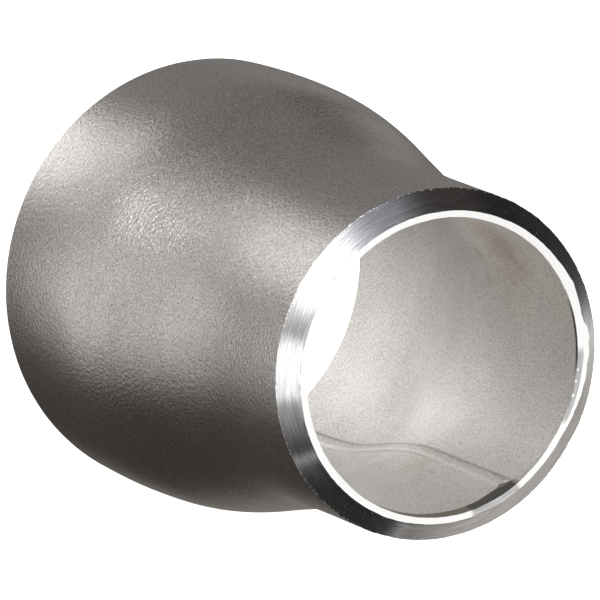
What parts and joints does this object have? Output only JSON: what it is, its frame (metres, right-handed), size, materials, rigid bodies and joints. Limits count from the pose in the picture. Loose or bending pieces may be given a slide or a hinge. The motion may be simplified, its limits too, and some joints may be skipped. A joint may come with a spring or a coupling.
{
  "type": "concentric pipe reducer",
  "caption": "Butt-welding concentric reducer: a round pipe fitting that steps smoothly from a larger bore to a smaller one, with bevelled weld ends.",
  "frame": {"origin": "on the fitting's axis, in the plane of the large end's face", "axes": "+Z along the axis from the large end to the small end; +Y towards the longitudinal seam"},
  "size_m": [0.0604, 0.0604, 0.0762],
  "materials": {
    "shell": "blasted and pickled stainless steel, satin with a fine orange-peel grain; ends machined bright",
    "weld": "as-welded stainless root bead, dressed flush at the ends and outside"
  },
  "bodies": {
    "root": {"reducer_shell": "shell", "seam_weld": "weld"}
  },
  "joints": []
}
